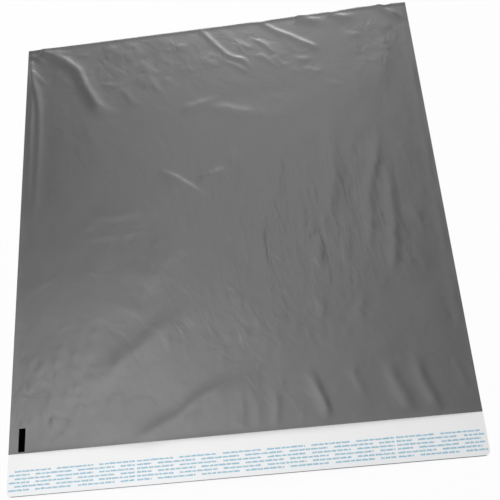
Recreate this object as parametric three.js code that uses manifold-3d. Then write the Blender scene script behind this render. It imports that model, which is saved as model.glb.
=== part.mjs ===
// A poly mailer bag, empty and laid flat on its back, in millimetres with +Z up.
// One film sheet is folded at the closed end (+Y) into a back panel and a front panel,
// welded along both sides, and left open at the front panel's lip. The back panel runs
// on past the lip as the flap (-Y), which carries the adhesive and its release liner.
// The origin is on the surface that the bag lies on, under the middle of its outline.

import * as THREE from "three";
import { mergeVertices } from "three/addons/utils/BufferGeometryUtils.js";
import Module from "manifold-3d";

// Driving sizes of the film.
const BAG_WIDTH = 610;
const PANEL_LENGTH = 635;
const FLAP_LENGTH = 53;
const FILM_GAUGE = 0.064;
const FLAP_CORNER_RADIUS = 7;

// The side welds, and the hairline that is left inside the fold and at the welds' roots.
const WELD_WIDTH = 6;
const HAIRLINE = 0.1;

// How far the front panel stands off the back panel, at the mouth and in the bag's middle.
const MOUTH_GAP = 6.5;
const BODY_GAP = 9;
const MOUTH_RUN = 220;
const ARCH_POWER = 2.4;
const FOLD_POWER = 9;
const CREASE_FADE = 20;

// The closure on the flap.
const LINER_WIDTH = 32;
const LINER_GAUGE = 0.05;
const LINER_MARGIN = 1;
const ADHESIVE_WIDTH = 25;
const ADHESIVE_GAUGE = 0.04;
const ADHESIVE_END_MARGIN = 2;

// The printed mark that the bag machine reads, near the lip's left corner.
const MARK_WIDTH = 9;
const MARK_LENGTH = 30;
const MARK_FROM_SIDE = 13;
const MARK_FROM_LIP = 2;
const INK_GAUGE = 0.02;

// Facets of the front panel: spacing across, and along near the lip, amid and near the fold.
const FACET_WIDTH = 16;
const LIP_FACET = 18;
const MIDDLE_FACET = 25;
const FOLD_FACET = 12;
const LIP_ZONE = 90;
const FOLD_ZONE = 145;
const SMALLEST_FACET = 3;
const CREASE_STEPS = 20;
const FOLD_STEPS = 6;
const CORNER_STEPS = 8;

// The pocket is cut out past the lip by this much.
const CUT_PAST_LIP = 5;

const SIDE_X = BAG_WIDTH / 2;
const WELD_X = SIDE_X - WELD_WIDTH;
const FLAP_END_Y = -(PANEL_LENGTH + FLAP_LENGTH) / 2;
const LIP_Y = FLAP_END_Y + FLAP_LENGTH;
const FOLD_Y = LIP_Y + PANEL_LENGTH;
const FOLD_RADIUS = FILM_GAUGE + HAIRLINE / 2;
const FOLD_CENTRE_Y = FOLD_Y - FOLD_RADIUS;

// The front panel's main creases. Each is a smooth line of points, given as shares of the
// bag's width from its left side and of the panel's length from the lip, with the height of
// its crest and half of its width in millimetres.
const CREASES = [
  // Along the left side, and the long hooked tuck from the left corner.
  { line: [[0.02, 0.94], [0.045, 0.82], [0.053, 0.69], [0.045, 0.4]], height: 2.2, reach: 12 },
  { line: [[0.06, 0.99], [0.12, 0.96], [0.16, 0.9], [0.19, 0.83]], height: 2.8, reach: 14 },
  { line: [[0.17, 0.87], [0.2, 0.81], [0.26, 0.78]], height: 1.8, reach: 13 },
  // The two tucks from the fold, and the right corner's.
  { line: [[0.46, 0.99], [0.52, 0.94], [0.56, 0.9], [0.6, 0.85]], height: 2.8, reach: 13 },
  { line: [[0.62, 0.99], [0.68, 0.96], [0.74, 0.92], [0.77, 0.88]], height: 2.4, reach: 13 },
  { line: [[0.94, 0.99], [0.96, 0.96], [0.98, 0.93]], height: 1.6, reach: 11 },
  // The arc across the upper middle.
  { line: [[0.38, 0.78], [0.5, 0.78], [0.58, 0.74], [0.66, 0.72]], height: 1.5, reach: 15 },
  // The two diagonals of the lower left.
  { line: [[0.19, 0.14], [0.3, 0.21], [0.39, 0.26], [0.47, 0.29]], height: 2.2, reach: 18 },
  { line: [[0.28, 0.02], [0.39, 0.06], [0.47, 0.1], [0.54, 0.12]], height: 1.8, reach: 17 },
  // The soft folds down the right half.
  { line: [[0.87, 0.63], [0.865, 0.5], [0.885, 0.38]], height: 1.4, reach: 17 },
  { line: [[0.74, 0.7], [0.75, 0.55], [0.73, 0.4]], height: 1.2, reach: 18 },
  // The folds that run to the lip.
  { line: [[0.65, 0.11], [0.675, 0.07], [0.69, 0.02]], height: 1.5, reach: 13 },
  { line: [[0.86, 0.12], [0.88, 0.08], [0.91, 0.04]], height: 1.5, reach: 14 },
];

const wasm = await Module();
wasm.setup();

/** Turns a closed geometry into a solid that can be joined or cut. */
function solidFrom(geometry) {
  const bare = geometry.index ? geometry.toNonIndexed() : geometry.clone();
  bare.deleteAttribute("normal");
  bare.deleteAttribute("uv");
  const merged = mergeVertices(bare);
  return new wasm.Manifold(
    new wasm.Mesh({
      numProp: 3,
      vertProperties: merged.getAttribute("position").array,
      triVerts: new Uint32Array(merged.index.array),
    }),
  );
}

/** Turns a solid back into a geometry with flat faces. */
function geometryFrom(solid) {
  const mesh = solid.getMesh();
  const indexed = new THREE.BufferGeometry();
  indexed.setAttribute("position", new THREE.BufferAttribute(mesh.vertProperties, 3));
  indexed.setIndex(new THREE.BufferAttribute(mesh.triVerts, 1));
  const geometry = indexed.toNonIndexed();
  geometry.computeVertexNormals();
  return geometry;
}

/** Lines about `step` apart from one value up to another. */
function spacedLines(from, to, step) {
  const count = Math.max(1, Math.round((to - from) / step));
  return Array.from({ length: count + 1 }, (_, k) => from + ((to - from) * k) / count);
}

/** The fixed lines, and those of the spaced ones that keep clear of them, in rising order. */
function gridLines(fixed, spaced) {
  const free = spaced.filter((line) => fixed.every((f) => Math.abs(f - line) > SMALLEST_FACET));
  return [...fixed, ...free].sort((a, b) => a - b);
}

/** A crease's line as points on the panel. */
function creasePoints({ line }) {
  const corners = line.map(([across, along]) => new THREE.Vector2(
    -SIDE_X + across * BAG_WIDTH,
    LIP_Y + along * PANEL_LENGTH,
  ));
  return new THREE.SplineCurve(corners).getPoints(CREASE_STEPS);
}

const creasePaths = CREASES.map(creasePoints);

/** How far one crease lifts the film: a rounded crest that dies away at both ends. */
function creaseLift(crease, path, point) {
  const distances = path.map((p) => p.distanceTo(point));
  const nearest = Math.min(...distances);
  const share = distances.indexOf(nearest) / CREASE_STEPS;
  const crest = crease.height * Math.sqrt(Math.sin(Math.PI * share));
  return crest * Math.exp(-((nearest / crease.reach) ** 2));
}

/** How far the panels stand apart at a point, from none at the welds and the fold. */
function panelGap(x, y) {
  const inside = WELD_X - Math.abs(x);
  const belowFold = FOLD_CENTRE_Y - y;
  if (inside <= 0 || belowFold <= 0) {
    return 0;
  }
  const opening = THREE.MathUtils.smoothstep(y, LIP_Y, LIP_Y + MOUTH_RUN);
  const middleGap = THREE.MathUtils.lerp(MOUTH_GAP, BODY_GAP, opening);
  const arch = 1 - (Math.abs(x) / WELD_X) ** ARCH_POWER;
  const towardFold = 1 - (1 - belowFold / PANEL_LENGTH) ** FOLD_POWER;
  const point = new THREE.Vector2(x, y);
  const lift = CREASES.reduce((sum, crease, k) => sum + creaseLift(crease, creasePaths[k], point), 0);
  const fade = Math.min(1, inside / CREASE_FADE, belowFold / CREASE_FADE);
  return middleGap * arch * towardFold + lift * fade;
}

/** The front panel's underside. */
function frontUnderside(x, y) {
  return FILM_GAUGE + HAIRLINE + panelGap(x, y);
}

/** The front panel's outer surface; in the welds it sinks to the two films' own thickness. */
function frontTop(x, y) {
  const intoWeld = THREE.MathUtils.clamp((Math.abs(x) - WELD_X) / WELD_WIDTH, 0, 1);
  return frontUnderside(x, y) + FILM_GAUGE - HAIRLINE * intoWeld;
}

const markX = [-SIDE_X + MARK_FROM_SIDE, -SIDE_X + MARK_FROM_SIDE + MARK_WIDTH];
const markY = [LIP_Y + MARK_FROM_LIP, LIP_Y + MARK_FROM_LIP + MARK_LENGTH];

const xLines = gridLines(
  [-SIDE_X, -WELD_X, ...markX, WELD_X, SIDE_X],
  spacedLines(-WELD_X, WELD_X, FACET_WIDTH),
);
const pocketLines = xLines.filter((x) => Math.abs(x) <= WELD_X);
const yLines = gridLines(
  [LIP_Y, ...markY, FOLD_CENTRE_Y],
  [
    ...spacedLines(LIP_Y, LIP_Y + LIP_ZONE, LIP_FACET),
    ...spacedLines(LIP_Y + LIP_ZONE + MIDDLE_FACET, FOLD_Y - FOLD_ZONE, MIDDLE_FACET),
    ...spacedLines(FOLD_Y - FOLD_ZONE + FOLD_FACET, FOLD_CENTRE_Y, FOLD_FACET),
  ],
);

/** The half turn at the fold, from its lower to its upper tangent, as [y, z] points. */
function foldArc(low, high, reach) {
  const middle = (low + high) / 2;
  return Array.from({ length: FOLD_STEPS - 1 }, (_, k) => {
    const angle = (Math.PI * (k + 1)) / FOLD_STEPS;
    return [FOLD_CENTRE_Y + reach * Math.sin(angle), middle - (high - middle) * Math.cos(angle)];
  });
}

/** The outline of the bag across one line in X, as [y, z] points: its outside, pocket filled. */
function outerSection(x) {
  const panel = yLines.map((y) => [y, frontTop(x, y)]).reverse();
  const arc = foldArc(0, frontTop(x, FOLD_CENTRE_Y), FOLD_RADIUS);
  return [[LIP_Y, 0], [FOLD_CENTRE_Y, 0], ...arc, ...panel];
}

/** The outline of the pocket across one line in X, run on past the lip. */
function pocketSection(x) {
  const panel = yLines.map((y) => [y, frontUnderside(x, y)]).reverse();
  const arc = foldArc(FILM_GAUGE, frontUnderside(x, FOLD_CENTRE_Y), HAIRLINE / 2);
  const endY = LIP_Y - CUT_PAST_LIP;
  return [
    [endY, FILM_GAUGE],
    [FOLD_CENTRE_Y, FILM_GAUGE],
    ...arc,
    ...panel,
    [endY, frontUnderside(x, LIP_Y)],
  ];
}

/** A closed body through one section at each line in X. */
function throughSections(lines, sectionAt) {
  const sections = lines.map(sectionAt);
  const count = sections[0].length;
  const points = sections.flatMap((section, i) => section.flatMap(([y, z]) => [lines[i], y, z]));
  const faces = [];
  for (let i = 0; i < lines.length - 1; i++) {
    for (let k = 0; k < count; k++) {
      const next = (k + 1) % count;
      const [a, b] = [i * count + k, i * count + next];
      const [c, d] = [a + count, b + count];
      faces.push(a, b, c, c, b, d);
    }
  }
  const capOf = (section) => {
    const outline = section.map(([y, z]) => new THREE.Vector2(y, z));
    return THREE.ShapeUtils.triangulateShape(outline, []);
  };
  const last = (lines.length - 1) * count;
  capOf(sections[0]).forEach(([a, b, c]) => faces.push(a, c, b));
  capOf(sections.at(-1)).forEach(([a, b, c]) => faces.push(last + a, last + b, last + c));
  const geometry = new THREE.BufferGeometry();
  geometry.setAttribute("position", new THREE.Float32BufferAttribute(points, 3));
  geometry.setIndex(faces);
  return geometry;
}

/** A strip across the bag, with its two corners at lowY rounded, made solid upwards from z. */
function stripAcross({ halfWidth, lowY, highY, radius, z, thickness }) {
  const outline = new THREE.Shape();
  outline.moveTo(halfWidth, highY);
  outline.lineTo(-halfWidth, highY);
  outline.lineTo(-halfWidth, lowY + radius);
  outline.absarc(-halfWidth + radius, lowY + radius, radius, Math.PI, 1.5 * Math.PI, false);
  outline.absarc(halfWidth - radius, lowY + radius, radius, 1.5 * Math.PI, 2 * Math.PI, false);
  outline.closePath();
  const options = { depth: thickness, bevelEnabled: false, curveSegments: CORNER_STEPS };
  return new THREE.ExtrudeGeometry(outline, options).translate(0, 0, z);
}

/** The whole film as one solid: both panels, the fold, the welds and the flap. */
function bagFilm() {
  const outside = solidFrom(throughSections(xLines, outerSection));
  const pocket = solidFrom(throughSections(pocketLines, pocketSection));
  const flap = stripAcross({
    halfWidth: SIDE_X,
    lowY: FLAP_END_Y,
    highY: LIP_Y,
    radius: FLAP_CORNER_RADIUS,
    z: 0,
    thickness: FILM_GAUGE,
  });
  return outside.subtract(pocket).add(solidFrom(flap));
}

/** The adhesive band on the flap, under the liner. */
function adhesiveStrip() {
  const halfWidth = SIDE_X - ADHESIVE_END_MARGIN;
  const middleY = FLAP_END_Y + LINER_MARGIN + LINER_WIDTH / 2;
  const band = new THREE.BoxGeometry(2 * halfWidth, ADHESIVE_WIDTH, ADHESIVE_GAUGE);
  return band.translate(0, middleY, FILM_GAUGE + ADHESIVE_GAUGE / 2);
}

/** The peel-off liner over the adhesive, with the flap's rounded corners. */
function releaseLiner() {
  const lowY = FLAP_END_Y + LINER_MARGIN;
  return stripAcross({
    halfWidth: SIDE_X - LINER_MARGIN,
    lowY,
    highY: lowY + LINER_WIDTH,
    radius: FLAP_CORNER_RADIUS - LINER_MARGIN,
    z: FILM_GAUGE + ADHESIVE_GAUGE,
    thickness: LINER_GAUGE,
  });
}

/** The ink of the printed mark, on the two facets between its own grid lines. */
function registrationMark() {
  const corners = [[0, 0], [1, 0], [1, 1], [0, 1]];
  const layer = (rise) => corners.flatMap(([i, j]) => {
    const [x, y] = [markX[i], markY[j]];
    return [x, y, frontTop(x, y) + rise];
  });
  const points = [...layer(0), ...layer(INK_GAUGE)];
  const geometry = new THREE.BufferGeometry();
  geometry.setAttribute("position", new THREE.Float32BufferAttribute(points, 3));
  const faces = [0, 2, 1, 0, 3, 2, 4, 5, 6, 4, 6, 7];
  for (let k = 0; k < corners.length; k++) {
    const next = (k + 1) % corners.length;
    faces.push(k, next, next + corners.length, k, next + corners.length, k + corners.length);
  }
  geometry.setIndex(faces);
  return geometry;
}

/** A named mesh with its own finish. */
function piece(name, geometry, color, roughness) {
  const finish = new THREE.MeshStandardMaterial({ color, roughness, metalness: 0 });
  const mesh = new THREE.Mesh(geometry, finish);
  mesh.name = name;
  return mesh;
}

const mailer = new THREE.Group();
mailer.add(
  piece("bag_film", geometryFrom(bagFilm()), 0x767676, 0.42),
  piece("adhesive_strip", adhesiveStrip(), 0xe9e4d2, 0.5),
  piece("release_liner", releaseLiner(), 0xe6f0f6, 0.35),
  piece("registration_mark", registrationMark(), 0x080808, 0.4),
);

export default mailer;
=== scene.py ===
"""An empty poly mailer bag laid flat on its back, seen in soft studio light.

The film is one sheet, grey outside and white inside, folded at the far end and welded along
both sides. The back panel runs on past the mouth as a flap with a lined adhesive band.
Sizes are in millimetres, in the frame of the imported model, and meshes are made in metres.
"""

import logging
import math
from dataclasses import dataclass, field
from enum import Enum
from typing import Any, Iterator

import bpy
import numpy as np
from mathutils import Matrix, Vector

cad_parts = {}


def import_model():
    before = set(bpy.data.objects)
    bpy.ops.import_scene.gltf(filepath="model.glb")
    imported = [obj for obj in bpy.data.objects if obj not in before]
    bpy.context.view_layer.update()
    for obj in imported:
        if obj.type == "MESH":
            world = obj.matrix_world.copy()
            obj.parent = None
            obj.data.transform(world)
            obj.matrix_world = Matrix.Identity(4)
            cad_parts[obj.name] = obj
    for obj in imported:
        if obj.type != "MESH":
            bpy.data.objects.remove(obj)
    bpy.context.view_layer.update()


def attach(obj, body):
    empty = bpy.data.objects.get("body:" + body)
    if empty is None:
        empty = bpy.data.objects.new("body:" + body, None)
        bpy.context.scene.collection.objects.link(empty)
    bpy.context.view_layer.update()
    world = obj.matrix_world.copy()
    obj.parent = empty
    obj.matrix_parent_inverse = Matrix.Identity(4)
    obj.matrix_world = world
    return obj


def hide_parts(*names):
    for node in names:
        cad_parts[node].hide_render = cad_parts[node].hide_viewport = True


LOG = logging.getLogger("mailer")
BODY = "root"
MM = 0.001
RIM_ANGLE = math.radians(50)
WHITE = (1.0, 1.0, 1.0, 1.0)
Grid = np.ndarray
Point = tuple[float, float]
Section = tuple[Grid, Grid]


class Slot(Enum):
    """The record's material slots."""

    FILM = "grey_film"
    ADHESIVE = "adhesive"
    LINER = "liner"
    INK = "black_ink"


class Face(Enum):
    """Which finish a face of the film takes, as an index into its materials."""

    OUTSIDE = 0
    INSIDE = 1


def linear(colour: str) -> tuple[float, float, float, float]:
    """Turns an sRGB colour to linear light.

    Args:
        colour: six hex digits, such as "6e6e6e".

    Returns:
        Red, green, blue and an alpha of 1.
    """
    parts = [int(colour[k : k + 2], 16) / 255 for k in (0, 2, 4)]
    light = [p / 12.92 if p <= 0.04045 else ((p + 0.055) / 1.055) ** 2.4 for p in parts]
    return (light[0], light[1], light[2], 1.0)


def smooth_step(value: Grid, low: float, high: float) -> Grid:
    """An eased ramp from 0 at low to 1 at high."""
    share = np.clip((value - low) / (high - low), 0, 1)
    return share * share * (3 - 2 * share)


def as_seen(x: Grid, y: Grid, level: Grid) -> tuple[Grid, Grid]:
    """Where the camera sees a point, drawn down onto the floor.

    Args:
        x: X of each point.
        y: Y of each point.
        level: its height.

    Returns:
        X and Y on the floor.
    """
    eye = Camera.place
    share = level / (eye[2] - level)
    return x + (x - eye[0]) * share, y + (y - eye[1]) * share


def smooth_line(points: list[Point], steps: int) -> Grid:
    """Runs a smooth curve through points.

    Args:
        points: the points that the curve passes through.
        steps: pieces between each two points.

    Returns:
        The curve's points, one row each.
    """
    p = np.array([points[0], *points, points[-1]], float)
    t = np.linspace(0, 1, steps, endpoint=False)[:, None]
    spans = []
    for a, b, c, d in zip(p[:-3], p[1:-2], p[2:-1], p[3:]):
        bend = (2 * a - 5 * b + 4 * c - d) * t**2 + (3 * b - a - 3 * c + d) * t**3
        spans.append(0.5 * (2 * b + (c - a) * t + bend))
    return np.vstack([*spans, p[-1:]])


@dataclass(frozen=True)
class Crease:
    """A line along which the front panel's film is bent.

    The line runs down or to the right, so that its near side is at the lower left.

    Attributes:
        points: the line, in millimetres in the frame's X and Y.
        rise: height of the line above the film beside it, below zero in a groove.
        near: how far the flank on the near side reaches.
        far: how far the flank on the far side reaches.
        blunt: the radius that the crest is rounded to.
        ends: the shares of the line over which it fades in and out.
        shelf: the share of the rise that lies on a broad step on the far side.
    """

    points: list[Point]
    rise: float
    near: float
    far: float
    blunt: float = 2.0
    ends: tuple[float, float] = (0.15, 0.3)
    shelf: float = 0

    # Pieces of the smooth line between two of its points.
    STEPS = 5
    # How many reaches away the crease still counts, and the power that its flanks fall by.
    SPREAD = 3
    STEEPNESS = 1.5
    # How far the shelf reaches, and how far past its ends the line fades, as a share of it.
    SHELF_REACH = 40
    PAST_END = 0.02

    def nearest(self, line: Grid, x: Grid, y: Grid) -> tuple[Grid, Grid, Grid]:
        """Finds each point's nearest place on the line.

        Args:
            line: the smooth line's points.
            x: X of each point.
            y: Y of each point.

        Returns:
            The distance to the line, the share of the line that lies before that place, and the
            side: 1 on the far side and -1 on the near side.
        """
        best = np.full(x.shape, np.inf)
        share = np.zeros(x.shape)
        side = np.ones(x.shape)
        for k, (a, b) in enumerate(zip(line[:-1], line[1:])):
            run = b - a
            along = ((x - a[0]) * run[0] + (y - a[1]) * run[1]) / (run @ run)
            kept = np.clip(along, 0, 1)
            dx, dy = x - a[0] - kept * run[0], y - a[1] - kept * run[1]
            gap = np.hypot(dx, dy)
            nearer = gap < best
            best[nearer] = gap[nearer]
            share[nearer] = ((k + kept) / (len(line) - 1))[nearer]
            side[nearer] = np.sign(run[0] * dy - run[1] * dx)[nearer]
        return best, share, side

    def lift(self, x: Grid, y: Grid) -> Grid:
        """Works out the height that the crease adds.

        Args:
            x: X of each point.
            y: Y of each point.

        Returns:
            The added height at each point.
        """
        line = smooth_line(self.points, self.STEPS)
        margin = self.SPREAD * max(self.near, self.far, self.SHELF_REACH * (self.shelf > 0))
        low, high = line.min(0) - margin, line.max(0) + margin
        close = (x > low[0]) & (x < high[0]) & (y > low[1]) & (y < high[1])
        gap, share, side = self.nearest(line, x[close], y[close])
        blend = 0.5 + 0.5 * np.tanh(side * gap / self.blunt)
        away = np.sqrt(gap**2 + self.blunt**2) - self.blunt
        reaches = (self.near, self.far, self.SHELF_REACH)
        near, far, step = (np.exp(-((away / reach) ** self.STEEPNESS)) for reach in reaches)
        flank = near * (1 - blend) + (far * (1 - self.shelf) + step * self.shelf) * blend
        start = smooth_step(share, -self.PAST_END, self.ends[0])
        end = 1 - smooth_step(share, 1 - self.ends[1], 1 + self.PAST_END)
        added = np.zeros_like(x)
        added[close] = self.rise * flank * (start * end)
        return added


@dataclass(frozen=True)
class DentedArea:
    """An oval area of the front panel that holds short dents, as a hand leaves them in film.

    Attributes:
        middle: the area's middle, in millimetres.
        half: half of its size each way.
        count: how many dents it holds.
        slant: the range of the directions in which they run, in degrees.
        rise: the range of their heights.
        seed: fixes where they lie.
    """

    middle: Point
    half: Point
    count: int
    slant: Point
    rise: Point
    seed: int

    # The range of the dents' lengths and of their reach on each side.
    LENGTH = (8, 22)
    REACH = (3, 5)
    # How far the middle of a dent is moved at most, then its blunt radius and its ends.
    SAG = 2
    BLUNT = 1
    ENDS = (0.4, 0.4)

    def dents(self) -> list[Crease]:
        """Scatters the dents at random.

        Returns:
            The dents, each a short bent crease.
        """
        draw = np.random.default_rng(self.seed)
        found = []
        for _ in range(self.count):
            out, turn = math.sqrt(draw.uniform()), draw.uniform(0, 2 * math.pi)
            x = self.middle[0] + self.half[0] * out * math.cos(turn)
            y = self.middle[1] + self.half[1] * out * math.sin(turn)
            slant, half_length = math.radians(draw.uniform(*self.slant)), draw.uniform(*self.LENGTH) / 2
            run, fall = half_length * math.cos(slant), half_length * math.sin(slant)
            sag = draw.uniform(-self.SAG, self.SAG)
            line = [(x - run, y - fall), (x + sag, y + sag), (x + run, y + fall)]
            rise, near, far = draw.uniform(*self.rise), draw.uniform(*self.REACH), draw.uniform(*self.REACH)
            found.append(Crease(line, rise, near, far, self.BLUNT, self.ENDS))
        return found


@dataclass(frozen=True)
class BagSizes:
    """The film's sizes, in millimetres.

    Attributes:
        width: the bag's width.
        panel: length of each panel.
        flap: length of the flap.
        gauge: the film's thickness.
        hairline: what is left open inside the fold and between the panels at the welds.
        weld: width of each side weld.
        corner: radius of the flap's two corners.
    """

    width: float = 610
    panel: float = 635
    flap: float = 53
    gauge: float = 0.064
    hairline: float = 0.1
    weld: float = 6
    corner: float = 7

    @property
    def side(self) -> float:
        """X of the right side edge."""
        return self.width / 2

    @property
    def weld_root(self) -> float:
        """X of the right weld's inner edge."""
        return self.side - self.weld

    @property
    def flap_end(self) -> float:
        """Y of the flap's free edge."""
        return -(self.panel + self.flap) / 2

    @property
    def lip(self) -> float:
        """Y of the front panel's lip."""
        return self.flap_end + self.flap

    @property
    def fold_radius(self) -> float:
        """Outer radius of the fold."""
        return self.gauge + self.hairline / 2

    @property
    def fold_centre(self) -> float:
        """Y of the axis that the fold turns about."""
        return self.lip + self.panel - self.fold_radius


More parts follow.
